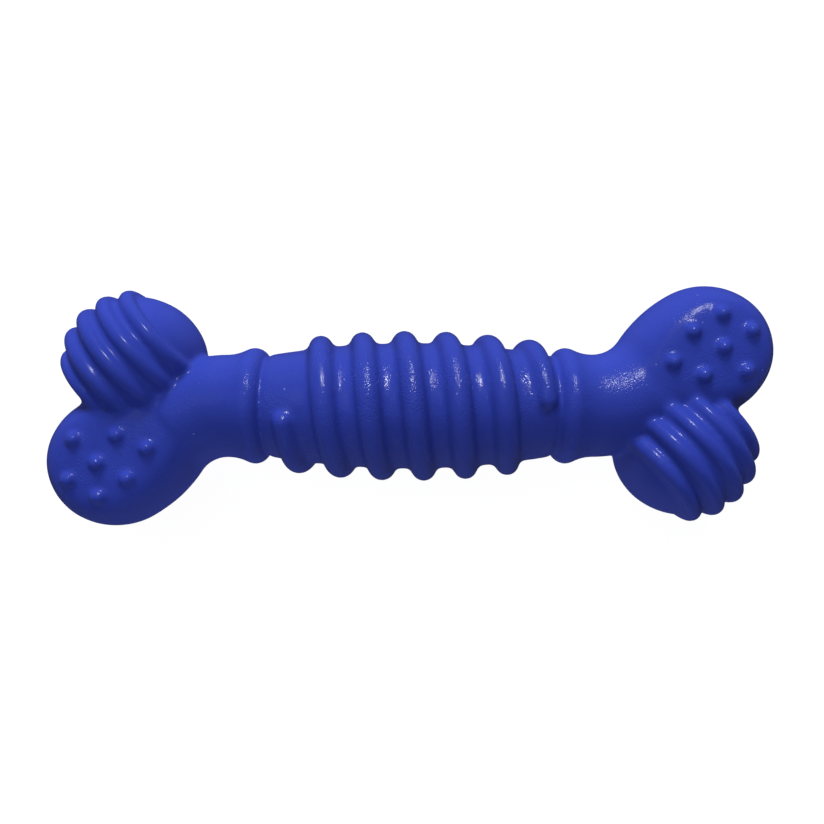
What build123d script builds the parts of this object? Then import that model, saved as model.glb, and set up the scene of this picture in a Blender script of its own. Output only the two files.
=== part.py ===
from build123d import *
from math import acos, asin, atan2, cos, degrees, hypot, pi, radians, sin, sqrt
import os

# Rubber chew bone lying flat on a table, in millimetres.
# +X runs along the bone, +Z is up and the table is z = 0. The bone is one moulding. Each node here is one
# of its sections, and neighbouring sections share their faces. The right end is the left end turned half a
# turn about the upright middle line, so only the left end is drawn.

# Barrel grip in the middle, which swells from its ends
barrel_half_length = 30.0
barrel_end_radius = 10.6
barrel_swell = 2.6

# Spiral ridge wound on the barrel, half round, with round tips that stop short of the collars.
# The middle of its length is turned by the lead angle from the top towards -Y. The bone lies on the ridge's
# lowest crests, which are flat there.
ridge_turns = 5.94
spans_per_turn = 2
ridge_section_radius = 2.6
ridge_tip_margin = 1.5
ridge_offset = 0.95
ridge_lead_angle = 5.5
ridge_flat_depth = 0.5

# Collar bead, which rises from the barrel's end and then thins to the neck
collar_length = 8.3
collar_crest_setback = 2.5
collar_crest_rise = 1.6
neck_depth = 1.4

# Studded lobe, with the elbow and the full shoulder that lead into it. Reaches start at the collar's end.
# The shoulder bridges the gap between the elbow's hollow and the round of the lobe.
studded_lobe_reach = 22.9
studded_lobe_drop = 11.3
studded_lobe_swell = 3.0
shoulder_gap = 2.65
shoulder_radius = 29.0

# Flat on the top and on the underside of the studded lobe, just proud of the neck
flat_step = 0.2
flat_edge_radius = 3.0

# Studs on each flat: one in the middle, five on a ring, one further out towards the neck
stud_radius = 1.5
stud_sink = 0.1
stud_ring_radius = 6.6
stud_ring_angles = (136.0, 55.0, -28.0, -89.0, -150.0)
outer_stud_distance = 10.0
outer_stud_angle = 16.5

# Ribbed ball beside the studded lobe, with parallel rings of ribs
ribbed_ball_radius = 13.8
ribbed_ball_reach = 18.7
ribbed_ball_rise = 9.1
rib_axis_angle = 40.0
rib_count = 5
rib_step_angle = 19.5
first_rib_angle = 34.0
rib_height = 1.25
rib_gap = 0.9

# Radii along the bone
barrel_mid_radius = barrel_end_radius + barrel_swell
collar_crest_radius = barrel_end_radius + collar_crest_rise
neck_radius = collar_crest_radius - neck_depth
studded_lobe_radius = neck_radius + studded_lobe_swell
flat_height = neck_radius + flat_step

# Barrel outline: one arc from end to end
barrel_arc_radius = (barrel_half_length**2 + barrel_swell**2) / (2 * barrel_swell)


def barrel_radius_at(x):
    """Radius of the barrel at a place along its length."""
    return barrel_mid_radius - barrel_arc_radius + sqrt(barrel_arc_radius**2 - x**2)


ridge_half_span = barrel_half_length - ridge_tip_margin - ridge_section_radius
ridge_pitch = 2 * ridge_half_span / ridge_turns


def ridge_x_at(angle):
    """Place along the barrel of the ridge's centre line, where angle 0 is on top, near the middle."""
    return ridge_offset + ridge_pitch * (angle - radians(ridge_lead_angle)) / (2 * pi)


# The table touches the flats, the deepest of which is on one of the two crests under the bone's middle.
lowest_crest_radius = max(barrel_radius_at(ridge_x_at(-pi)), barrel_radius_at(ridge_x_at(pi)))
axis_height = lowest_crest_radius + ridge_section_radius - ridge_flat_depth

# Elbow: its hollow stays the shoulder's gap away from the lobe, and the bend turns the neck's axis until it
# points at the lobe's centre.
elbow_start = barrel_half_length + collar_length
lobe_clearance = studded_lobe_radius + shoulder_gap
lobe_lead = studded_lobe_drop - neck_radius
elbow_inner_radius = studded_lobe_reach**2 + lobe_lead**2 - lobe_clearance**2
elbow_inner_radius /= 2 * (lobe_lead + lobe_clearance)
elbow_radius = elbow_inner_radius + neck_radius
lobe_distance = sqrt(studded_lobe_reach**2 + (studded_lobe_drop - elbow_radius) ** 2 - elbow_radius**2)
bend = atan2(elbow_radius, lobe_distance)
bend += asin((studded_lobe_drop - elbow_radius) / hypot(lobe_distance, elbow_radius))

# Shoulder: an arc that leaves the elbow's hollow tangent and meets the round lobe tangent
hollow_reach = elbow_inner_radius + shoulder_radius
round_reach = shoulder_radius - studded_lobe_radius
centre_gap = hypot(lobe_distance, elbow_radius)
gap_angle = atan2(-elbow_radius, lobe_distance)
gap_foot = (hollow_reach**2 - round_reach**2 + centre_gap**2) / (2 * centre_gap)
shoulder_angle = gap_angle - acos(gap_foot / hollow_reach)
shoulder_x = hollow_reach * cos(shoulder_angle)
shoulder_y = elbow_radius + hollow_reach * sin(shoulder_angle)

# Collar outline: a bead arc from the barrel's end over the crest, then a hollow arc down to the neck
bead_radius = (collar_crest_setback**2 + collar_crest_rise**2) / (2 * collar_crest_rise)
bead_centre_radius = collar_crest_radius - bead_radius
hollow_length = collar_length - collar_crest_setback
hollow_rise = neck_radius - bead_centre_radius
hollow_radius = (hollow_length**2 + hollow_rise**2 - bead_radius**2) / (2 * neck_depth)

# Ribbed ball and its ribs: each rib's round section meets the ball half a gap from the next rib's.
ball_centre = (-elbow_start - ribbed_ball_reach, ribbed_ball_rise, axis_height)
rib_crest_radius = ribbed_ball_radius + rib_height
rib_half_angle = radians(rib_step_angle) / 2 - rib_gap / ribbed_ball_radius / 2
rib_depth = rib_crest_radius - ribbed_ball_radius * cos(rib_half_angle)
rib_centre_radius = (rib_crest_radius**2 - ribbed_ball_radius**2) / (2 * rib_depth)
rib_section_radius = rib_crest_radius - rib_centre_radius

bone_axis = Axis((0, 0, axis_height), (1, 0, 0))
side_plane = Plane(origin=(0, 0, axis_height), x_dir=(1, 0, 0), z_dir=(0, 0, 1))


def arc(centre, radius, start_angle, end_angle):
    """Arc about a centre between two angles in radians."""
    middle_angle = (start_angle + end_angle) / 2
    points = []
    for angle in (start_angle, middle_angle, end_angle):
        points.append((centre[0] + radius * cos(angle), centre[1] + radius * sin(angle)))
    return ThreePointArc(*points)


def turned_solid(edges, plane, axis):
    """Solid of revolution of an outline drawn on a plane that holds the axis."""
    return revolve(plane * make_face(edges), axis)


def make_barrel():
    """Barrel grip without its ridge."""
    left_rim = (-barrel_half_length, barrel_end_radius)
    right_rim = (barrel_half_length, barrel_end_radius)
    crown = ThreePointArc(left_rim, (0, barrel_mid_radius), right_rim)
    sides = Polyline(right_rim, (barrel_half_length, 0), (-barrel_half_length, 0), left_rim)
    return turned_solid([crown, sides], side_plane, bone_axis)


def ridge_point(angle):
    """Point of the ridge's centre line at an angle from the top."""
    x = ridge_x_at(angle)
    radius = barrel_radius_at(x)
    return Vector(x, -radius * sin(angle), axis_height + radius * cos(angle))


def ridge_tangent(angle):
    """Direction of the ridge's centre line at an angle from the top."""
    x = ridge_x_at(angle)
    radius = barrel_radius_at(x)
    advance = ridge_pitch / (2 * pi)
    slope = -x / sqrt(barrel_arc_radius**2 - x**2) * advance
    across = -slope * sin(angle) - radius * cos(angle)
    up = slope * cos(angle) - radius * sin(angle)
    return Vector(advance, across, up).normalized()


def biarc(start, start_tangent, end, end_tangent):
    """Two tangent arcs of equal reach from one point and direction to another."""
    chord = end - start
    both = start_tangent + end_tangent
    bow = 2 * (1 - start_tangent.dot(end_tangent))
    along = chord.dot(both)
    reach = (sqrt(along**2 + bow * chord.dot(chord)) - along) / bow
    joint = (start + end + (start_tangent - end_tangent) * reach) / 2
    joint_tangent = (end - end_tangent * reach) - (start + start_tangent * reach)
    first = Edge.make_tangent_arc(start, start_tangent, joint)
    second = Edge.make_tangent_arc(joint, joint_tangent, end)
    return [first, second]


def ridge_section(point, direction):
    """Plane across the ridge at a point, with its first direction towards the barrel's axis."""
    inward = Vector(0, -point.Y, axis_height - point.Z)
    return Plane(origin=point, x_dir=direction.cross(inward).cross(direction), z_dir=direction)


def make_ridge(barrel):
    """Half-round ridge: a round section carried along the barrel's skin, less the barrel, flat on the table."""
    span_count = round(ridge_turns * spans_per_turn)
    start_angle = radians(ridge_lead_angle) - pi * ridge_turns
    end_angle = radians(ridge_lead_angle) + pi * ridge_turns
    step = (end_angle - start_angle) / span_count
    angles = [start_angle + step * index for index in range(span_count + 1)]
    pieces = []
    for first, second in zip(angles, angles[1:]):
        spans = biarc(ridge_point(first), ridge_tangent(first), ridge_point(second), ridge_tangent(second))
        for span in spans:
            section = ridge_section(span @ 0, span % 0) * Circle(ridge_section_radius)
            pieces.append(sweep(section, Wire([span])) - barrel)
    for angle, outward in ((start_angle, -1), (end_angle, 1)):
        tip_plane = ridge_section(ridge_point(angle), ridge_tangent(angle) * outward)
        ball = tip_plane * Rot(0, 45, 0) * Sphere(ridge_section_radius)
        tip = split(ball, bisect_by=tip_plane, keep=Keep.TOP)
        pieces.append(tip - barrel)
    ridge = pieces[0].fuse(*pieces[1:])
    return split(ridge, bisect_by=Plane.XY, keep=Keep.TOP)


def make_collar():
    """Left collar bead, from the barrel's end to the start of the neck's elbow."""
    bead_centre = (-barrel_half_length - collar_crest_setback, bead_centre_radius)
    hollow_centre = (-elbow_start, neck_radius + hollow_radius)
    meet_angle = atan2(hollow_centre[1] - bead_centre[1], hollow_centre[0] - bead_centre[0])
    groove_angle = atan2(barrel_end_radius - bead_centre_radius, collar_crest_setback)
    bead = arc(bead_centre, bead_radius, groove_angle, meet_angle)
    hollow = arc(hollow_centre, hollow_radius, meet_angle - pi, -pi / 2)
    neck_rim = (-elbow_start, neck_radius)
    barrel_rim = (-barrel_half_length, barrel_end_radius)
    sides = Polyline(neck_rim, (-elbow_start, 0), (-barrel_half_length, 0), barrel_rim)
    return turned_solid([bead, hollow, sides], side_plane, bone_axis)


def make_neck():
    """Left neck: a round elbow that bends towards the studded lobe."""
    mouth = Plane(origin=(-elbow_start, 0, axis_height), z_dir=(-1, 0, 0)) * Circle(neck_radius)
    hinge = Axis((-elbow_start, -elbow_radius, axis_height), (0, 0, 1))
    return revolve(mouth, hinge, degrees(bend))


def make_studded_lobe():
    """Left studded lobe with its shoulder, cut flat above and below, with soft edges round the flats."""
    origin_x = -elbow_start - elbow_radius * sin(bend)
    origin_y = -elbow_radius * (1 - cos(bend))
    stem_direction = (-cos(bend), -sin(bend), 0)
    stem_plane = Plane(origin=(origin_x, origin_y, axis_height), x_dir=stem_direction, z_dir=(0, 0, 1))
    round_angle = atan2(-shoulder_y, lobe_distance - shoulder_x)
    hollow = arc((0, elbow_radius), elbow_inner_radius, -pi / 2, shoulder_angle)
    shoulder = arc((shoulder_x, shoulder_y), shoulder_radius, shoulder_angle + pi, round_angle)
    round_end = arc((lobe_distance, 0), studded_lobe_radius, round_angle, 0)
    sides = Polyline((lobe_distance + studded_lobe_radius, 0), (0, 0), (0, neck_radius))
    stem_axis = Axis(stem_plane.origin, stem_direction)
    lobe = turned_solid([hollow, shoulder, round_end, sides], stem_plane, stem_axis)
    slab_side = 4 * (elbow_start + studded_lobe_reach)
    slab = Pos(0, 0, axis_height) * Box(slab_side, slab_side, 2 * flat_height)
    lobe = lobe & slab
    flats = lobe.faces().filter_by(Axis.Z)
    return fillet(flats.edges(), flat_edge_radius)


def make_studs(cutters, side):
    """Studs on the flat above (side 1) or below (side -1) the left studded lobe."""
    places = [(0, 0)]
    for angle in stud_ring_angles:
        places.append((stud_ring_radius * cos(radians(angle)), stud_ring_radius * sin(radians(angle))))
    outer = radians(outer_stud_angle)
    places.append((outer_stud_distance * cos(outer), outer_stud_distance * sin(outer)))
    height = axis_height + side * (flat_height - stud_sink)
    flat_middle = Pos(-elbow_start - studded_lobe_reach, -studded_lobe_drop, height)
    studs = []
    for x, y in places:
        ball = flat_middle * Pos(x, y) * Sphere(stud_radius)
        studs += (ball - cutters).solids()
    return Compound(children=studs)


def make_ribbed_ball(cutters):
    """Left ribbed ball without its ribs, cut where the neck and the studded lobe run into it."""
    ball = Pos(*ball_centre) * Rot(0, 0, rib_axis_angle + 90) * Sphere(ribbed_ball_radius)
    return ball - cutters


def make_ribs(cutters):
    """Rings of ribs on the left ball, each cut where the neck and the studded lobe run into it."""
    axis_direction = (cos(radians(rib_axis_angle)), sin(radians(rib_axis_angle)), 0)
    rib_plane = Plane(origin=ball_centre, x_dir=axis_direction, z_dir=(0, 0, 1))
    rib_axis = Axis(ball_centre, axis_direction)
    ribs = []
    for index in range(rib_count):
        latitude = radians(first_rib_angle - rib_step_angle * index)
        place = Pos(rib_centre_radius * sin(latitude), rib_centre_radius * cos(latitude))
        section = place * Circle(rib_section_radius) - Circle(ribbed_ball_radius)
        ring = revolve(rib_plane * section, rib_axis)
        ribs += (ring - cutters).solids()
    return Compound(children=ribs)


def half_turn(shape):
    """Copy of a shape turned half a turn about the upright middle line."""
    return Rot(0, 0, 180) * shape


barrel = make_barrel()
neck = make_neck()
lobe = make_studded_lobe()
cutters = [neck, lobe]
nodes = {"barrel_core": barrel, "spiral_ridge": make_ridge(barrel)}
left_nodes = {
    "collar": make_collar(),
    "neck": neck,
    "studded_lobe": lobe,
    "upper_studs": make_studs(cutters, 1),
    "lower_studs": make_studs(cutters, -1),
    "ribbed_ball": make_ribbed_ball(cutters),
    "ball_ribs": make_ribs(cutters),
}
for name, shape in left_nodes.items():
    nodes["left_" + name] = shape
    nodes["right_" + name] = half_turn(shape)

os.makedirs("parts", exist_ok=True)
for name, shape in nodes.items():
    export_step(shape, os.path.join("parts", name + ".step"))
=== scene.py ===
import logging
import math
from dataclasses import dataclass
from enum import Enum
from typing import Dict, List, Sequence, Tuple

import bpy
from mathutils import Matrix, Vector


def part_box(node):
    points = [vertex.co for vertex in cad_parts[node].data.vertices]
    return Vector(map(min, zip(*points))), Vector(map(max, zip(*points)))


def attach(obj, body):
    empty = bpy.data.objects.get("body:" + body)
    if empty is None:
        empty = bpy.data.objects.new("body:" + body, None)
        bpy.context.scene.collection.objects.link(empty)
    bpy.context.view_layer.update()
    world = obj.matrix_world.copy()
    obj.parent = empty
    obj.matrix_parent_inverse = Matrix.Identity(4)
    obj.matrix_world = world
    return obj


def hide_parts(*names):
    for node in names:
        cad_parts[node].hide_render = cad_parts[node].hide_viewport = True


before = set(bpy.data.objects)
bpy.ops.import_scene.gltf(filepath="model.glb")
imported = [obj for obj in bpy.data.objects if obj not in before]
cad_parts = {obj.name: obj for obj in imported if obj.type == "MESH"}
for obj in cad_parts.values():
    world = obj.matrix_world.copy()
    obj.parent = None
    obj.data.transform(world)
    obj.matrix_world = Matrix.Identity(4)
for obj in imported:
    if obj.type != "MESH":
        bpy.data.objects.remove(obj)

# Moulded rubber chew bone, lying on its side. Lengths are millimetres, and MM turns them into metres.
# +X runs along the bone and +Z is up. The forms of the left end are modelled once and copied with a
# half turn for the right end. All forms are then melted into one moulded skin, which is cut at the
# collars' grooves. A ball is polished up to POLISHED_REACH from its middle, and the skin has its full
# grain from GRAINED_REACH on.

MM = 0.001
BODY = "root"
POLISHED_REACH = 14.5
GRAINED_REACH = 17.5

LOG = logging.getLogger("chew_bone")
Pair = Tuple[float, float]
Triple = Tuple[float, float, float]
Piece = bpy.types.Object
Tree = bpy.types.NodeTree
Socket = bpy.types.NodeSocket


class Section(Enum):
    """The three visible sections of the bone, each with the side of the bone that it is on."""

    LEFT_END = -1
    RIDGED_GRIP = 0
    RIGHT_END = 1

    @property
    def label(self) -> str:
        """Name of the visible piece."""
        return self.name.lower()

    @property
    def nodes(self) -> List[str]:
        """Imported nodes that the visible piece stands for."""
        if self is Section.RIDGED_GRIP:
            return ["barrel_core", "spiral_ridge"]
        parts = ("collar", "neck", "studded_lobe", "upper_studs", "lower_studs", "ribbed_ball",
                 "ball_ribs")
        return [self.label.replace("end", part) for part in parts]


class Surface(Enum):
    """How the mould left the skin of a piece."""

    RIDGED_GRIP = "ridged_grip"
    SMOOTH_END = "smooth_end"


def deselect_all() -> None:
    """Leave object mode with nothing selected."""
    if bpy.context.object and bpy.context.object.mode != "OBJECT":
        bpy.ops.object.mode_set(mode="OBJECT")
    bpy.ops.object.select_all(action="DESELECT")


def pick(piece: Piece) -> None:
    """Select one piece alone and make it the active one.

    Args:
        piece: Piece to pick.
    """
    deselect_all()
    piece.select_set(True)
    bpy.context.view_layer.objects.active = piece


def settle(piece: Piece) -> None:
    """Move a piece's place, turn and scale into its mesh."""
    pick(piece)
    bpy.ops.object.transform_apply(location=True, rotation=True, scale=True)


def close_and_face_out(piece: Piece, merge: float = 0.002 * MM) -> None:
    """Merge doubled points, fill open rims and turn every face outwards.

    Args:
        piece: Mesh piece to close.
        merge: Distance under which points become one, in metres.
    """
    pick(piece)
    bpy.ops.object.mode_set(mode="EDIT")
    bpy.ops.mesh.select_all(action="SELECT")
    bpy.ops.mesh.remove_doubles(threshold=merge)
    bpy.ops.mesh.fill_holes(sides=0)
    bpy.ops.mesh.normals_make_consistent(inside=False)
    bpy.ops.object.mode_set(mode="OBJECT")


def turned_form(name: str, outline: Sequence[Triple], centre: Triple, axis: Triple, steps: int) -> Piece:
    """Draw an outline point by point and spin it into a closed round form.

    Args:
        name: Name of the new piece.
        outline: Points of the outline in metres, from axis to axis.
        centre: A point of the turning axis.
        axis: Direction of the turning axis.
        steps: Number of faces round the form.

    Returns:
        The new piece, selected and active.
    """
    deselect_all()
    bpy.ops.mesh.primitive_plane_add(size=MM, location=outline[0])
    piece = bpy.context.object
    piece.name = name
    settle(piece)
    bpy.ops.object.mode_set(mode="EDIT")
    bpy.ops.mesh.select_all(action="SELECT")
    bpy.ops.mesh.merge(type="CENTER")
    for start, end in zip(outline, outline[1:]):
        step = Vector(end) - Vector(start)
        bpy.ops.mesh.extrude_vertices_move(TRANSFORM_OT_translate={"value": step})
    bpy.ops.mesh.select_all(action="SELECT")
    bpy.ops.mesh.spin(steps=steps, angle=2 * math.pi, center=centre, axis=axis)
    bpy.ops.object.mode_set(mode="OBJECT")
    close_and_face_out(piece)
    return piece


def arc_points(centre: Pair, radius: float, start: float, end: float, count: int) -> List[Pair]:
    """Points along an arc between two angles in radians, both ends included."""
    angles = [start + (end - start) * index / count for index in range(count + 1)]
    return [(centre[0] + radius * math.cos(a), centre[1] + radius * math.sin(a)) for a in angles]


def copy_of(piece: Piece, name: str) -> Piece:
    """Copy a piece with a mesh of its own.

    Args:
        piece: Piece to copy.
        name: Name of the copy and of its mesh.

    Returns:
        The copy, selected and active.
    """
    pick(piece)
    bpy.ops.object.duplicate(linked=False)
    copy = bpy.context.object
    copy.name = name
    copy.data.name = name
    return copy


def turned_copy(piece: Piece) -> Piece:
    """Copy a form of the left end and turn the copy half a turn about the upright middle line.

    Args:
        piece: Form of the left end.

    Returns:
        The form of the right end.
    """
    copy = copy_of(piece, "turned_" + piece.name)
    copy.data.transform(Matrix.Rotation(math.pi, 4, "Z"))
    return copy


def discard(piece: Piece) -> None:
    """Remove a piece and its mesh.

    Args:
        piece: Piece that is no longer needed.
    """
    mesh = piece.data
    bpy.data.objects.remove(piece)
    bpy.data.meshes.remove(mesh)


def join_pieces(name: str, pieces: Sequence[Piece]) -> Piece:
    """Join pieces into the first one and name it.

    Args:
        name: Name of the joined piece and of its mesh.
        pieces: Pieces to join.

    Returns:
        The joined piece.
    """
    deselect_all()
    for piece in pieces:
        piece.select_set(True)
    bpy.context.view_layer.objects.active = pieces[0]
    bpy.ops.object.join()
    pieces[0].name = name
    pieces[0].data.name = name
    return pieces[0]


@dataclass(frozen=True)
class Crease:
    """Two sets of forms that run together, and how softly they do. The reach is in millimetres."""

    one_side: List[Piece]
    other_side: List[Piece]
    reach: float
    passes: int


@dataclass(frozen=True)
class Moulding:
    """How joined forms are melted into one skin, as rubber fills one mould. Lengths are millimetres."""

    grid: float = 0.32
    rounding_passes: int = 12
    rounding_share: float = 0.5
    waver: float = 0.10
    waver_size: float = 7.0

    def melt(self, piece: Piece) -> None:
        """Melt a joined piece into one closed skin with rounded edges.

        Args:
            piece: Piece made of closed forms that run into each other.
        """
        pick(piece)
        skin = piece.modifiers.new("one_skin", "REMESH")
        skin.mode = "VOXEL"
        skin.voxel_size = self.grid * MM
        skin.adaptivity = 0
        skin.use_smooth_shade = True
        bpy.ops.object.modifier_apply(modifier=skin.name)
        soft = piece.modifiers.new("rounding", "SMOOTH")
        soft.factor = self.rounding_share
        soft.iterations = self.rounding_passes
        bpy.ops.object.modifier_apply(modifier=soft.name)

    def fill_crease(self, piece: Piece, crease: Crease) -> None:
        """Fill the creases between two sets of forms with a soft hollow.

        Args:
            piece: The melted skin.
            crease: The forms on both sides and how softly they run together.
        """
        guides = []
        for label, forms in (("one_side", crease.one_side), ("other_side", crease.other_side)):
            copies = [copy_of(form, "guide_" + form.name) for form in forms]
            guides.append(join_pieces(label, copies))
        pick(piece)
        names = ["near_" + guide.name for guide in guides]
        for name, guide in zip(names, guides):
            piece.vertex_groups.new(name=name).add(range(len(piece.data.vertices)), 1.0, "REPLACE")
            near = piece.modifiers.new(name, "VERTEX_WEIGHT_PROXIMITY")
            near.vertex_group = name
            near.target = guide
            near.proximity_mode = "GEOMETRY"
            near.proximity_geometry = {"FACE"}
            near.min_dist = crease.reach * MM
            near.max_dist = 0
            bpy.ops.object.modifier_apply(modifier=near.name)
        both = piece.modifiers.new("near_both", "VERTEX_WEIGHT_MIX")
        both.vertex_group_a, both.vertex_group_b = names
        both.mix_mode = "MUL"
        both.mix_set = "ALL"
        bpy.ops.object.modifier_apply(modifier=both.name)
        soft = piece.modifiers.new("soft_creases", "SMOOTH")
        soft.vertex_group = names[0]
        soft.factor = self.rounding_share
        soft.iterations = crease.passes
        bpy.ops.object.modifier_apply(modifier=soft.name)
        piece.vertex_groups.clear()
        for guide in guides:
            discard(guide)

    def unsettle(self, piece: Piece) -> None:
        """Let the skin waver a little, as a mould's polished walls do.

        Args:
            piece: The melted skin.
        """
        pick(piece)
        clouds = bpy.data.textures.new("waver", "CLOUDS")
        clouds.noise_scale = self.waver_size * MM
        clouds.noise_depth = 1
        uneven = piece.modifiers.new("waver", "DISPLACE")
        uneven.texture = clouds
        uneven.texture_coords = "LOCAL"
        uneven.direction = "NORMAL"
        uneven.mid_level = 0.5
        uneven.strength = self.waver * MM
        bpy.ops.object.modifier_apply(modifier=uneven.name)
        bpy.ops.object.shade_smooth()


@dataclass
class Grip:
    """Barrel grip with the spiral ridge wound on it. Lengths are millimetres and angles degrees."""

    axis_height: float
    half_length: float = 30.0
    end_radius: float = 10.6
    swell: float = 2.6
    ridge_turns: float = 5.94
    ridge_radius: float = 2.6
    ridge_pitch: float = 8.72
    ridge_offset: float = 0.95
    ridge_lead_angle: float = 5.5
    tip_taper_angle: float = 75.0
    tip_share: float = 0.80
    rim_rounding: float = 1.6
    groove_setback: float = 0.25
    steps_round: int = 192
    outline_steps: int = 240
    ridge_steps_per_turn: int = 90
    ridge_sides: int = 40
    tip_segments: int = 48

    @property
    def arc_radius(self) -> float:
        """Radius of the arc that the barrel's outline follows."""
        return (self.half_length**2 + self.swell**2) / (2 * self.swell)

    @property
    def middle_radius(self) -> float:
        """Radius of the bare barrel at its middle."""
        return self.end_radius + self.swell

    @property
    def lead(self) -> float:
        """Angle in radians from the top to the middle of the ridge's length, towards -Y."""
        return math.radians(self.ridge_lead_angle)

    def radius_at(self, x: float) -> float:
        """Radius of the bare barrel at a place along it."""
        x = max(-self.half_length, min(self.half_length, x))
        return self.middle_radius - self.arc_radius + math.sqrt(self.arc_radius**2 - x**2)

    def rim_drop(self, x: float) -> float:
        """How far the barrel's skin falls into the collars' grooves at a place along it."""
        over = max(0.0, abs(x) - self.half_length + self.rim_rounding)
        return self.rim_rounding - math.sqrt(max(0.0, self.rim_rounding**2 - over**2))

    @property
    def groove_place(self) -> float:
        """Distance from the bone's middle to the bottom of a collar's groove."""
        return self.half_length - self.groove_setback

    def ridge_x_at(self, angle: float) -> float:
        """Place along the barrel of the ridge's middle, at an angle in radians wound from the top."""
        return self.ridge_offset + self.ridge_pitch * (angle - self.lead) / (2 * math.pi)

    def section_share(self, angle: float) -> float:
        """Share of the ridge's full section, which thins to its tips.

        Args:
            angle: Angle in radians, wound from the top.

        Returns:
            The share, at most 1.
        """
        left = math.pi * self.ridge_turns - abs(angle - self.lead)
        share = max(0.0, min(1.0, left / math.radians(self.tip_taper_angle)))
        return self.tip_share + (1 - self.tip_share) * share * share * (3 - 2 * share)

    def make_barrel(self) -> Piece:
        """Spin the barrel's swelling outline.

        Returns:
            The closed barrel.
        """
        outline = [(-self.half_length, 0.0)]
        for index in range(self.outline_steps + 1):
            x = self.half_length * (2 * index / self.outline_steps - 1)
            outline.append((x, self.radius_at(x) - self.rim_drop(x)))
        outline.append((self.half_length, 0.0))
        points = [(x * MM, 0.0, (self.axis_height + r) * MM) for x, r in outline]
        centre = (0, 0, self.axis_height * MM)
        return turned_form("barrel", points, centre, (1, 0, 0), self.steps_round)

    def make_ridge(self) -> Piece:
        """Wind a round section along the barrel, round off both tips and lay it on the barrel's skin.

        Returns:
            The ridge with its two round tips.
        """
        half_turn = math.pi * self.ridge_turns
        start, end = self.lead - half_turn, self.lead + half_turn
        first = (self.ridge_x_at(start) * MM, 0, self.middle_radius * MM)
        deselect_all()
        bpy.ops.mesh.primitive_circle_add(vertices=self.ridge_sides, radius=self.ridge_radius * MM,
                                          location=first, rotation=(math.pi / 2, 0, 0))
        ridge = bpy.context.object
        ridge.name = "ridge"
        settle(ridge)
        ridge.data.transform(Matrix.Rotation(start, 4, "X"))
        wind = ridge.modifiers.new("wind", "SCREW")
        wind.axis = "X"
        wind.angle = 2 * half_turn
        wind.screw_offset = self.ridge_pitch * self.ridge_turns * MM
        wind.steps = round(self.ridge_turns * self.ridge_steps_per_turn)
        wind.render_steps = wind.steps
        wind.use_smooth_shade = True
        bpy.ops.object.modifier_apply(modifier=wind.name)
        close_and_face_out(ridge)
        pieces = [ridge]
        for angle in (start, end):
            place = Vector((self.ridge_x_at(angle), -self.middle_radius * math.sin(angle),
                            self.middle_radius * math.cos(angle))) * MM
            bpy.ops.mesh.primitive_uv_sphere_add(segments=self.tip_segments,
                                                 ring_count=self.tip_segments // 2,
                                                 radius=self.ridge_radius * MM, location=place)
            pieces.append(bpy.context.object)
            settle(pieces[-1])
        ridge = join_pieces("ridge", pieces)
        self.lay_on_barrel(ridge)
        return ridge

    def lay_on_barrel(self, ridge: Piece) -> None:
        """Bring the wound ridge to the barrel's skin, thin its tips and flatten it on the table.

        Args:
            ridge: The ridge, wound at the middle radius about the X axis.
        """
        for vertex in ridge.data.vertices:
            x, y, z = vertex.co / MM
            reach = math.hypot(y, z)
            angle = math.atan2(-y, z)
            angle += 2 * math.pi * round((x - self.ridge_x_at(angle)) / self.ridge_pitch)
            centre_x = self.ridge_x_at(angle)
            share = self.section_share(angle)
            radius = self.radius_at(centre_x) + (reach - self.middle_radius) * share
            height = max(0.0, self.axis_height + z / reach * radius)
            vertex.co = Vector((centre_x + (x - centre_x) * share, y / reach * radius, height)) * MM


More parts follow.
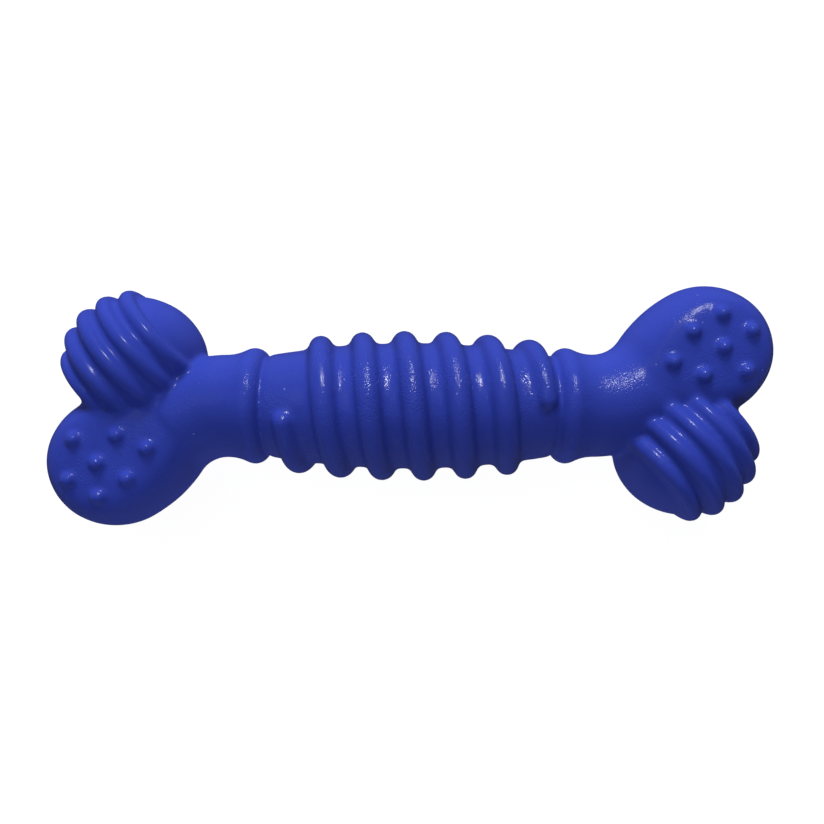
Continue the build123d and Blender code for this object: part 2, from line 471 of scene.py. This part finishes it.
@dataclass
class BoneEnd:
    """Left end of the bone: collar, neck, studded lobe and ribbed ball. Lengths are millimetres."""

    axis_height: float
    barrel_half_length: float = 30.0
    barrel_end_radius: float = 10.6
    collar_length: float = 8.3
    collar_crest_setback: float = 2.5
    collar_crest_rise: float = 1.6
    neck_radius: float = 10.8
    elbow_inner_radius: float = 7.494
    lobe_reach: float = 22.9
    lobe_drop: float = 11.3
    lobe_radius: float = 13.8
    shoulder_radius: float = 29.0
    flat_height: float = 11.25
    flat_softness: float = 2.2
    stud_radius: float = 1.7
    stud_sink: float = 0.35
    stud_ring_radius: float = 6.6
    stud_ring_angles: Tuple[float, ...] = (136.0, 55.0, -28.0, -89.0, -150.0)
    outer_stud_distance: float = 10.0
    outer_stud_angle: float = 16.5
    ball_radius: float = 13.8
    ball_reach: float = 18.7
    ball_rise: float = 9.1
    rib_axis_angle: float = 40.0
    rib_count: int = 5
    rib_step_angle: float = 19.5
    first_rib_angle: float = 34.0
    rib_height: float = 1.35
    rib_gap: float = 1.3
    plug_depth: float = 3.0
    plug_share: float = 0.6
    steps_round: int = 192
    bead_steps: int = 32
    hollow_steps: int = 14
    shoulder_steps: int = 20
    round_steps: int = 40
    elbow_steps: int = 24
    stud_segments: int = 40
    rib_segments: int = 40

    @property
    def elbow_start(self) -> float:
        """Distance from the bone's middle to the neck's elbow."""
        return self.barrel_half_length + self.collar_length

    @property
    def elbow_radius(self) -> float:
        """Radius of the elbow's middle line."""
        return self.elbow_inner_radius + self.neck_radius

    @property
    def lobe_distance(self) -> float:
        """Distance from the elbow's end to the middle of the studded lobe."""
        drop = self.lobe_drop - self.elbow_radius
        return math.sqrt(self.lobe_reach**2 + drop**2 - self.elbow_radius**2)

    @property
    def bend(self) -> float:
        """Angle of the elbow in radians."""
        slant = math.hypot(self.lobe_distance, self.elbow_radius)
        return math.atan2(self.elbow_radius, self.lobe_distance) + math.asin(
            (self.lobe_drop - self.elbow_radius) / slant)

    @property
    def ball_centre(self) -> Vector:
        """Middle of the ribbed ball, in metres."""
        return Vector((-self.elbow_start - self.ball_reach, self.ball_rise, self.axis_height)) * MM

    def make_collar(self) -> Piece:
        """Spin the collar's bead and the hollow that thins to the neck.

        Returns:
            The closed collar, with a plug that reaches into the neck.
        """
        setback, rise = self.collar_crest_setback, self.collar_crest_rise
        crest_radius = self.barrel_end_radius + rise
        bead_radius = (setback**2 + rise**2) / (2 * rise)
        bead_centre = (-self.barrel_half_length - setback, crest_radius - bead_radius)
        hollow_length = self.collar_length - setback
        hollow_rise = self.neck_radius - bead_centre[1]
        fall = crest_radius - self.neck_radius
        hollow_radius = (hollow_length**2 + hollow_rise**2 - bead_radius**2) / (2 * fall)
        hollow_centre = (-self.elbow_start, self.neck_radius + hollow_radius)
        meet = math.atan2(hollow_centre[1] - bead_centre[1], hollow_centre[0] - bead_centre[0])
        outline = [(bead_centre[0] + bead_radius, 0.0)]
        outline += arc_points(bead_centre, bead_radius, 0.0, meet, self.bead_steps)
        outline += arc_points(hollow_centre, hollow_radius, meet - math.pi, -math.pi / 2,
                              self.hollow_steps)[1:]
        outline.append((-self.elbow_start - self.plug_depth, self.neck_radius * self.plug_share))
        outline.append((-self.elbow_start - self.plug_depth, 0.0))
        points = [(x * MM, 0.0, (self.axis_height + r) * MM) for x, r in outline]
        centre = (0, 0, self.axis_height * MM)
        return turned_form("collar", points, centre, (1, 0, 0), self.steps_round)

    def make_neck(self) -> Piece:
        """Spin a ring through the elbow and fill both mouths.

        Returns:
            The closed neck.
        """
        deselect_all()
        mouth = Vector((-self.elbow_start, 0, self.axis_height)) * MM
        bpy.ops.mesh.primitive_circle_add(vertices=self.steps_round, radius=self.neck_radius * MM,
                                          location=mouth, rotation=(0, math.pi / 2, 0))
        neck = bpy.context.object
        neck.name = "neck"
        settle(neck)
        hinge = mouth + Vector((0, -self.elbow_radius * MM, 0))
        bpy.ops.object.mode_set(mode="EDIT")
        bpy.ops.mesh.select_all(action="SELECT")
        bpy.ops.mesh.spin(steps=self.elbow_steps, angle=-self.bend, center=hinge, axis=(0, 0, 1))
        bpy.ops.object.mode_set(mode="OBJECT")
        close_and_face_out(neck)
        return neck

    def lobe_outline(self) -> List[Pair]:
        """Outline of the lobe along its stem: hollow, full shoulder and round end.

        Returns:
            Points as distance along the stem and radius about it.
        """
        hollow_reach = self.elbow_inner_radius + self.shoulder_radius
        round_reach = self.shoulder_radius - self.lobe_radius
        gap = math.hypot(self.lobe_distance, self.elbow_radius)
        foot = (hollow_reach**2 - round_reach**2 + gap**2) / (2 * gap)
        turn = math.atan2(-self.elbow_radius, self.lobe_distance) - math.acos(foot / hollow_reach)
        shoulder = (hollow_reach * math.cos(turn),
                    self.elbow_radius + hollow_reach * math.sin(turn))
        rounding = math.atan2(-shoulder[1], self.lobe_distance - shoulder[0])
        outline = [(-self.plug_depth, 0.0), (-self.plug_depth, self.neck_radius * self.plug_share)]
        outline += arc_points((0, self.elbow_radius), self.elbow_inner_radius, -math.pi / 2, turn,
                              self.hollow_steps)
        outline += arc_points(shoulder, self.shoulder_radius, turn + math.pi, rounding,
                              self.shoulder_steps)[1:]
        outline += arc_points((self.lobe_distance, 0), self.lobe_radius, rounding, 0,
                              self.round_steps)[1:]
        return outline

    def make_lobe(self) -> Piece:
        """Spin the studded lobe's outline and press both of its sides flat.

        Returns:
            The closed lobe.
        """
        stem = Vector((-math.cos(self.bend), -math.sin(self.bend), 0))
        root = Vector((-self.elbow_start - self.elbow_radius * math.sin(self.bend),
                       -self.elbow_radius * (1 - math.cos(self.bend)), self.axis_height))
        points = []
        for along, radius in self.lobe_outline():
            points.append((root + stem * along + Vector((0, 0, radius))) * MM)
        lobe = turned_form("lobe", points, root * MM, stem, self.steps_round)
        start = self.flat_height - self.flat_softness
        for vertex in lobe.data.vertices:
            height = vertex.co.z / MM - self.axis_height
            excess = abs(height) - start
            if excess > 0:
                pressed = start + self.flat_softness * (1 - math.exp(-excess / self.flat_softness))
                vertex.co.z = (self.axis_height + math.copysign(pressed, height)) * MM
        return lobe

    def make_studs(self, lobe: Piece) -> List[Piece]:
        """Place the studs on both pressed sides of the lobe.

        Args:
            lobe: The pressed lobe.

        Returns:
            The studs.
        """
        places = [(0.0, 0.0)]
        for angle in self.stud_ring_angles:
            places.append((self.stud_ring_radius * math.cos(math.radians(angle)),
                           self.stud_ring_radius * math.sin(math.radians(angle))))
        outer = math.radians(self.outer_stud_angle)
        places.append((self.outer_stud_distance * math.cos(outer),
                       self.outer_stud_distance * math.sin(outer)))
        middle = Vector((-self.elbow_start - self.lobe_reach, -self.lobe_drop, self.axis_height))
        studs = []
        for side in (1, -1):
            for x, y in places:
                above = (middle + Vector((x, y, side * self.lobe_radius))) * MM
                sink = Vector((0, 0, side * self.stud_sink * MM))
                place = lobe.ray_cast(above, (0, 0, -side))[1] - sink
                bpy.ops.mesh.primitive_uv_sphere_add(segments=self.stud_segments,
                                                     ring_count=self.stud_segments // 2,
                                                     radius=self.stud_radius * MM, location=place)
                studs.append(bpy.context.object)
                settle(studs[-1])
        return studs

    def make_ball(self) -> List[Piece]:
        """Make the ball and its rings of ribs.

        Returns:
            The ball and then its ribs.
        """
        bpy.ops.mesh.primitive_uv_sphere_add(segments=self.steps_round,
                                             ring_count=self.steps_round // 2,
                                             radius=self.ball_radius * MM, location=self.ball_centre)
        pieces = [bpy.context.object]
        settle(pieces[0])
        crest = self.ball_radius + self.rib_height
        half_angle = math.radians(self.rib_step_angle) / 2 - self.rib_gap / self.ball_radius / 2
        depth = crest - self.ball_radius * math.cos(half_angle)
        centre_radius = (crest**2 - self.ball_radius**2) / (2 * depth)
        turn = math.radians(self.rib_axis_angle)
        axis = Vector((math.cos(turn), math.sin(turn), 0))
        for index in range(self.rib_count):
            latitude = math.radians(self.first_rib_angle - self.rib_step_angle * index)
            place = self.ball_centre + axis * centre_radius * math.sin(latitude) * MM
            bpy.ops.mesh.primitive_torus_add(major_segments=self.steps_round,
                                             minor_segments=self.rib_segments,
                                             major_radius=centre_radius * math.cos(latitude) * MM,
                                             minor_radius=(crest - centre_radius) * MM,
                                             location=place, rotation=(0, math.pi / 2, turn))
            pieces.append(bpy.context.object)
            settle(pieces[-1])
        return pieces


@dataclass
class Bone:
    """The whole moulded bone: the grip and its two ends in one skin. Reaches are millimetres."""

    grip: Grip
    left_end: BoneEnd
    moulding: Moulding
    ball_crease_reach: float = 3.2
    ball_crease_passes: int = 45
    ridge_crease_reach: float = 2.8
    ridge_crease_passes: int = 60
    neck_crease_reach: float = 3.0
    neck_crease_passes: int = 40
    stud_crease_reach: float = 1.4
    stud_crease_passes: int = 24

    def mould(self) -> Piece:
        """Make all forms and melt them into one skin.

        Returns:
            The closed skin of the whole bone.
        """
        barrel, ridge = self.grip.make_barrel(), self.grip.make_ridge()
        end = self.left_end
        collars, necks, lobes = [end.make_collar()], [end.make_neck()], [end.make_lobe()]
        studs, balls = end.make_studs(lobes[0]), end.make_ball()
        for forms in (collars, necks, lobes, studs, balls):
            forms += [turned_copy(form) for form in forms]
        whole = [barrel, ridge] + collars + necks + lobes + studs + balls
        skin = join_pieces("bone_skin", [copy_of(form, "melted_" + form.name) for form in whole])
        self.moulding.melt(skin)
        stems = collars + necks
        creases = (
            Crease(balls, stems + lobes, self.ball_crease_reach, self.ball_crease_passes),
            Crease([ridge], [barrel], self.ridge_crease_reach, self.ridge_crease_passes),
            Crease(stems, lobes, self.neck_crease_reach, self.neck_crease_passes),
            Crease(studs, lobes, self.stud_crease_reach, self.stud_crease_passes),
        )
        for crease in creases:
            self.moulding.fill_crease(skin, crease)
        self.moulding.unsettle(skin)
        for form in whole:
            discard(form)
        return skin

    def cut(self, skin: Piece, section: Section) -> Piece:
        """Cut one section out of the whole skin at the collars' grooves and close it.

        Args:
            skin: The whole skin.
            section: The section to keep.

        Returns:
            The closed section, shaded as in the whole skin.
        """
        piece = copy_of(skin, section.label)
        groove = self.grip.groove_place * MM
        cuts = [(-groove, -1), (groove, 1)]
        if section is not Section.RIDGED_GRIP:
            cuts = [(section.value * groove, -section.value)]
        bpy.ops.object.mode_set(mode="EDIT")
        for place, outward in cuts:
            bpy.ops.mesh.select_all(action="SELECT")
            bpy.ops.mesh.bisect(plane_co=(place, 0, 0), plane_no=(outward, 0, 0), use_fill=True,
                                clear_outer=True)
        bpy.ops.object.mode_set(mode="OBJECT")
        shading = piece.modifiers.new("shading", "DATA_TRANSFER")
        shading.object = skin
        shading.use_loop_data = True
        shading.data_types_loops = {"CUSTOM_NORMAL"}
        shading.loop_mapping = "POLYINTERP_NEAREST"
        bpy.ops.object.modifier_apply(modifier=shading.name)
        return piece


def colour(red: float, green: float, blue: float) -> Tuple[float, float, float, float]:
    """Linear colour with full cover."""
    return (red, green, blue, 1.0)


class NodeGroups:
    """Shader node groups that more than one finish uses. Scales are per metre."""

    COARSE_SCALE = 2900.0
    FINE_SCALE = 4500.0
    PATCH_SCALE = 110.0
    PATCH_DETAIL = 2.0
    PATCH_EDGES = (0.36, 0.60)
    SPECK_SCALE = 330.0
    SPECK_EDGES = (0.075, 0.035)
    SPECK_RARITY = 0.90
    CLOUD_SCALE = 55.0
    CLOUD_DETAIL = 4.0
    CLOUD_EDGES = (0.3, 0.7)

    @staticmethod
    def start(name: str, inputs: Dict[str, float], outputs: Sequence[str]) -> Tree:
        """Open a new group with float inputs and outputs and a vector input for the place.

        Args:
            name: Name of the group.
            inputs: Input names with their first values.
            outputs: Output names.

        Returns:
            The new group.
        """
        group = bpy.data.node_groups.new(name, "ShaderNodeTree")
        group.interface.new_socket("Place", in_out="INPUT", socket_type="NodeSocketVector")
        for label, value in inputs.items():
            socket = group.interface.new_socket(label, in_out="INPUT", socket_type="NodeSocketFloat")
            socket.default_value = value
        for label in outputs:
            group.interface.new_socket(label, in_out="OUTPUT", socket_type="NodeSocketFloat")
        return group

    @staticmethod
    def noise(group: Tree, place: Socket, scale: float, detail: float) -> Socket:
        """Add a noise texture.

        Args:
            group: Group to add it to.
            place: Place on the surface.
            scale: Scale of the noise.
            detail: Number of finer layers.

        Returns:
            The noise's value.
        """
        node = group.nodes.new("ShaderNodeTexNoise")
        node.inputs["Scale"].default_value = scale
        node.inputs["Detail"].default_value = detail
        group.links.new(place, node.inputs["Vector"])
        return node.outputs["Fac"]

    @staticmethod
    def distance(group: Tree, place: Socket, centre: Vector) -> Socket:
        """Measure the distance of a place from a fixed point.

        Args:
            group: Group to add the measure to.
            place: Place on the surface.
            centre: The fixed point, in metres.

        Returns:
            The distance in metres.
        """
        node = group.nodes.new("ShaderNodeVectorMath")
        node.operation = "DISTANCE"
        group.links.new(place, node.inputs[0])
        node.inputs[1].default_value = centre
        return node.outputs["Value"]

    @staticmethod
    def spread(group: Tree, value: Socket, low: float, high: float) -> Socket:
        """Stretch a value so that low becomes 0 and high becomes 1, with soft ends.

        Args:
            group: Group to add the stretch to.
            value: Value to stretch.
            low: Value that becomes 0.
            high: Value that becomes 1.

        Returns:
            The stretched value.
        """
        node = group.nodes.new("ShaderNodeMapRange")
        node.interpolation_type = "SMOOTHSTEP"
        node.inputs["From Min"].default_value = low
        node.inputs["From Max"].default_value = high
        group.links.new(value, node.inputs["Value"])
        return node.outputs["Result"]

    @staticmethod
    def maths(group: Tree, operation: str, first: Socket, second: object) -> Socket:
        """Join two values, or a value and a number, by one operation.

        Args:
            group: Group to add the operation to.
            operation: Blender's name of the operation.
            first: The first value.
            second: The second value or number.

        Returns:
            The outcome.
        """
        node = group.nodes.new("ShaderNodeMath")
        node.operation = operation
        group.links.new(first, node.inputs[0])
        if isinstance(second, (int, float)):
            node.inputs[1].default_value = second
        else:
            group.links.new(second, node.inputs[1])
        return node.outputs[0]

    @classmethod
    def grain(cls, polished: Sequence[Vector]) -> Tree:
        """Fine grain that is coarser in patches, as a height, and a mask of where it is.

        Args:
            polished: Middles of the two balls, which have no grain, in metres.

        Returns:
            The new group.
        """
        amounts = {"Patch Amount": 1.0, "Fine Amount": 0.3}
        group = cls.start("moulded_grain", amounts, ["Height", "Grained"])
        inlet = group.nodes.new("NodeGroupInput")
        outlet = group.nodes.new("NodeGroupOutput")
        place = inlet.outputs["Place"]
        coarse = cls.noise(group, place, cls.COARSE_SCALE, 0.0)
        fine = cls.noise(group, place, cls.FINE_SCALE, 0.0)
        patches = cls.noise(group, place, cls.PATCH_SCALE, cls.PATCH_DETAIL)
        patches = cls.spread(group, patches, *cls.PATCH_EDGES)
        patches = cls.maths(group, "MULTIPLY", patches, inlet.outputs["Patch Amount"])
        rough = cls.maths(group, "MULTIPLY", coarse, patches)
        even = cls.maths(group, "MULTIPLY", fine, inlet.outputs["Fine Amount"])
        height = cls.maths(group, "ADD", rough, even)
        away = [cls.distance(group, place, centre) for centre in polished]
        far = [cls.spread(group, reach, POLISHED_REACH * MM, GRAINED_REACH * MM) for reach in away]
        grained = cls.maths(group, "MULTIPLY", *far)
        group.links.new(cls.maths(group, "MULTIPLY", height, grained), outlet.inputs["Height"])
        group.links.new(grained, outlet.inputs["Grained"])
        return group

    @classmethod
    def specks(cls) -> Tree:
        """Sparse pale specks as a mask: partly dust, partly painted glints.

        Returns:
            The new group.
        """
        # Pale specks for the base colour: partly dust, partly painted glints that stand in for specular
        # sparkle.
        group = cls.start("dust_specks", {"Speck Amount": 1.0}, ["Specks"])
        inlet = group.nodes.new("NodeGroupInput")
        outlet = group.nodes.new("NodeGroupOutput")
        cells = group.nodes.new("ShaderNodeTexVoronoi")
        cells.inputs["Scale"].default_value = cls.SPECK_SCALE
        group.links.new(inlet.outputs["Place"], cells.inputs["Vector"])
        near = cls.spread(group, cells.outputs["Distance"], *cls.SPECK_EDGES)
        chance = group.nodes.new("ShaderNodeSeparateColor")
        group.links.new(cells.outputs["Color"], chance.inputs["Color"])
        chosen = cls.maths(group, "GREATER_THAN", chance.outputs["Red"], cls.SPECK_RARITY)
        mask = cls.maths(group, "MULTIPLY", near, chosen)
        mask = cls.maths(group, "MULTIPLY", mask, inlet.outputs["Speck Amount"])
        group.links.new(mask, outlet.inputs["Specks"])
        return group

    @classmethod
    def clouding(cls) -> Tree:
        """Slow change over the skin, for its colour.

        Returns:
            The new group.
        """
        group = cls.start("clouding", {"Amount": 1.0}, ["Cloud"])
        inlet = group.nodes.new("NodeGroupInput")
        outlet = group.nodes.new("NodeGroupOutput")
        cloud = cls.noise(group, inlet.outputs["Place"], cls.CLOUD_SCALE, cls.CLOUD_DETAIL)
        cloud = cls.spread(group, cloud, *cls.CLOUD_EDGES)
        cloud = cls.maths(group, "MULTIPLY", cloud, inlet.outputs["Amount"])
        group.links.new(cloud, outlet.inputs["Cloud"])
        return group


@dataclass(frozen=True)
class RubberFinish:
    """Royal blue moulded rubber, half glossy."""

    surface: Surface
    deep: Triple = (0.0240, 0.0425, 0.325)
    bright: Triple = (0.0270, 0.0475, 0.365)
    # Pale speck colour: partly dust, partly painted glints that stand in for specular sparkle.
    dust: Triple = (0.45, 0.50, 0.85)
    shine_tint: Triple = (0.76, 0.86, 1.0)
    refraction: float = 1.50
    base_shine: float = 0.07
    base_roughness: float = 0.5
    grained_sheen: float = 0.80
    polished_sheen: float = 0.38
    patch_amount: float = 1.0
    fine_amount: float = 0.35
    speck_amount: float = 0.3
    grain_depth: float = 0.10
    coat_roughness: float = 0.18

    def make(self, groups: Dict[str, Tree]) -> bpy.types.Material:
        """Build the material.

        Args:
            groups: The shared node groups by name.

        Returns:
            The finished material.
        """
        material = bpy.data.materials.new("blue_rubber_" + self.surface.value)
        material.use_nodes = True
        tree = material.node_tree
        shader = next(node for node in tree.nodes if node.type == "BSDF_PRINCIPLED")
        shader.inputs["IOR"].default_value = self.refraction
        shader.inputs["Specular IOR Level"].default_value = self.base_shine
        shader.inputs["Specular Tint"].default_value = colour(*self.shine_tint)
        shader.inputs["Roughness"].default_value = self.base_roughness
        place = tree.nodes.new("ShaderNodeTexCoord").outputs["Object"]
        used = {}
        for name, group in groups.items():
            node = tree.nodes.new("ShaderNodeGroup")
            node.node_tree = group
            tree.links.new(place, node.inputs["Place"])
            used[name] = node
        used["grain"].inputs["Patch Amount"].default_value = self.patch_amount
        used["grain"].inputs["Fine Amount"].default_value = self.fine_amount
        used["specks"].inputs["Speck Amount"].default_value = self.speck_amount
        body = self.blend(tree, used["clouding"].outputs["Cloud"], self.deep, self.bright)
        # Mix pale specks into the base colour: partly dust, partly painted glints.
        dust_and_glint_mix = tree.nodes.new("ShaderNodeMix")
        dust_and_glint_mix.data_type = "RGBA"
        tree.links.new(used["specks"].outputs["Specks"], dust_and_glint_mix.inputs["Factor"])
        tree.links.new(body, dust_and_glint_mix.inputs["A"])
        dust_and_glint_mix.inputs["B"].default_value = colour(*self.dust)
        tree.links.new(dust_and_glint_mix.outputs["Result"], shader.inputs["Base Color"])
        shader.inputs["Coat Roughness"].default_value = self.coat_roughness
        sheen = tree.nodes.new("ShaderNodeMapRange")
        sheen.inputs["To Min"].default_value = self.polished_sheen
        sheen.inputs["To Max"].default_value = self.grained_sheen
        tree.links.new(used["grain"].outputs["Grained"], sheen.inputs["Value"])
        tree.links.new(sheen.outputs["Result"], shader.inputs["Coat Weight"])
        bump = tree.nodes.new("ShaderNodeBump")
        bump.inputs["Strength"].default_value = 1.0
        bump.inputs["Distance"].default_value = self.grain_depth * MM
        tree.links.new(used["grain"].outputs["Height"], bump.inputs["Height"])
        for layer in ("Normal", "Coat Normal"):
            tree.links.new(bump.outputs["Normal"], shader.inputs[layer])
        return material

    @staticmethod
    def blend(tree: Tree, factor: Socket, low: Triple, high: Triple) -> Socket:
        """Mix two colours by a value of the surface.

        Args:
            tree: Material's node tree.
            factor: Value that mixes, from 0 to 1.
            low: Colour at 0.
            high: Colour at 1.

        Returns:
            The mixed colour.
        """
        mix = tree.nodes.new("ShaderNodeMix")
        mix.data_type = "RGBA"
        tree.links.new(factor, mix.inputs["Factor"])
        mix.inputs["A"].default_value = colour(*low)
        mix.inputs["B"].default_value = colour(*high)
        return mix.outputs["Result"]


@dataclass(frozen=True)
class Lamp:
    """A flat lamp that faces the bone. Lengths are millimetres, power is watts."""

    name: str
    direction: Triple
    distance: float
    size: Pair
    power: float
    shines: bool = False

    def hang(self, middle: Vector) -> None:
        """Hang the lamp; one that doesn't shine gives no reflections.

        Args:
            middle: Point that the lamp faces, in metres.
        """
        data = bpy.data.lights.new(self.name, "AREA")
        data.shape = "RECTANGLE"
        data.size, data.size_y = (side * MM for side in self.size)
        data.energy = self.power
        lamp = bpy.data.objects.new(self.name, data)
        towards = Vector(self.direction).normalized()
        lamp.location = middle + towards * self.distance * MM
        lamp.rotation_euler = towards.to_track_quat("Z", "Y").to_euler()
        lamp.visible_glossy = self.shines
        bpy.context.scene.collection.objects.link(lamp)


@dataclass
class Studio:
    """Pale floor, soft lights and the camera straight above the bone. Lengths are millimetres."""

    axis_height: float
    camera_rise: float = 142.0
    camera_place: Pair = (0.4, -1.3)
    lens: float = 29.32
    sensor_width: float = 36.0
    floor_side: float = 3000.0
    floor_white: float = 0.10
    floor_roughness: float = 0.9
    floor_glow: float = 0.97
    fill_strength: float = 0.03
    backdrop_white: float = 0.9
    lamps: Tuple[Lamp, ...] = (
        Lamp("key", (0.14, 0.72, 0.68), 1000.0, (150.0, 150.0), 4.0, shines=True),
        Lamp("back", (-0.15, 0.93, 0.34), 1000.0, (400.0, 300.0), 9.3),
        Lamp("top", (-0.30, 0.25, 0.92), 400.0, (160.0, 160.0), 0.38),
        Lamp("front", (-0.08, -0.92, 0.38), 1000.0, (500.0, 400.0), 2.6),
    )

    def place_camera(self) -> None:
        """Set the camera at the photograph's place."""
        data = bpy.data.cameras.new("camera")
        data.lens = self.lens
        data.sensor_width = self.sensor_width
        data.clip_start = MM
        camera = bpy.data.objects.new("camera", data)
        height = self.axis_height + self.camera_rise
        camera.location = Vector((*self.camera_place, height)) * MM
        bpy.context.scene.collection.objects.link(camera)
        bpy.context.scene.camera = camera

    def place_lights(self) -> None:
        """Hang the lamps and set the even fill, which shows as a pale backdrop where the floor ends."""
        for lamp in self.lamps:
            lamp.hang(Vector((0, 0, self.axis_height * MM)))
        world = bpy.data.worlds.new("studio")
        world.use_nodes = True
        sky = next(node for node in world.node_tree.nodes if node.type == "BACKGROUND")
        sky.inputs["Color"].default_value = colour(1.0, 1.0, 1.0)
        seen = world.node_tree.nodes.new("ShaderNodeLightPath").outputs["Is Camera Ray"]
        strength = world.node_tree.nodes.new("ShaderNodeMapRange")
        strength.inputs["To Min"].default_value = self.fill_strength
        strength.inputs["To Max"].default_value = self.backdrop_white
        world.node_tree.links.new(seen, strength.inputs["Value"])
        world.node_tree.links.new(strength.outputs["Result"], sky.inputs["Strength"])
        bpy.context.scene.world = world

    def lay_floor(self) -> None:
        """Lay the pale floor that the bone rests on."""
        deselect_all()
        bpy.ops.mesh.primitive_plane_add(size=self.floor_side * MM, location=(0, 0, 0))
        floor = bpy.context.object
        floor.name = "floor"
        material = bpy.data.materials.new("pale_floor")
        material.use_nodes = True
        shader = next(node for node in material.node_tree.nodes if node.type == "BSDF_PRINCIPLED")
        shader.inputs["Base Color"].default_value = colour(*[self.floor_white] * 3)
        shader.inputs["Roughness"].default_value = self.floor_roughness
        shader.inputs["Specular IOR Level"].default_value = 0.0
        shader.inputs["Emission Color"].default_value = colour(1.0, 1.0, 1.0)
        shader.inputs["Emission Strength"].default_value = self.floor_glow
        floor.data.materials.append(material)
        floor.visible_glossy = False

    def set_up(self) -> None:
        """Build the whole studio."""
        self.place_camera()
        self.place_lights()
        self.lay_floor()
        bpy.context.scene.view_settings.view_transform = "Standard"


def dress(piece: Piece, material: bpy.types.Material, nodes: Sequence[str]) -> None:
    """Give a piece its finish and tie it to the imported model.

    Args:
        piece: Finished piece, at the origin.
        material: Its material.
        nodes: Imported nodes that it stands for.
    """
    piece.data.materials.clear()
    piece.data.materials.append(material)
    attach(piece, BODY)
    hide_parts(*nodes)
    LOG.info("%s: %d faces, stands for %s", piece.name, len(piece.data.polygons), ", ".join(nodes))


def main() -> None:
    """Build, dress and stage the bone."""
    logging.basicConfig(level=logging.INFO, format="%(name)s: %(message)s")
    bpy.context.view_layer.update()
    low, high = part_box("barrel_core")
    axis_height = (low.z + high.z) / 2 / MM
    bone = Bone(Grip(axis_height), BoneEnd(axis_height), Moulding())
    ball = bone.left_end.ball_centre
    balls = [ball, Matrix.Rotation(math.pi, 3, "Z") @ ball]
    groups = {"grain": NodeGroups.grain(balls), "specks": NodeGroups.specks(),
              "clouding": NodeGroups.clouding()}
    grip_rubber = RubberFinish(Surface.RIDGED_GRIP).make(groups)
    end_rubber = RubberFinish(Surface.SMOOTH_END, patch_amount=0.8, grain_depth=0.08, speck_amount=0.2,
                              grained_sheen=0.38).make(groups)
    skin = bone.mould()
    for section in Section:
        rubber = grip_rubber if section is Section.RIDGED_GRIP else end_rubber
        dress(bone.cut(skin, section), rubber, section.nodes)
    discard(skin)
    Studio(axis_height).set_up()


if __name__ == "__main__":
    main()
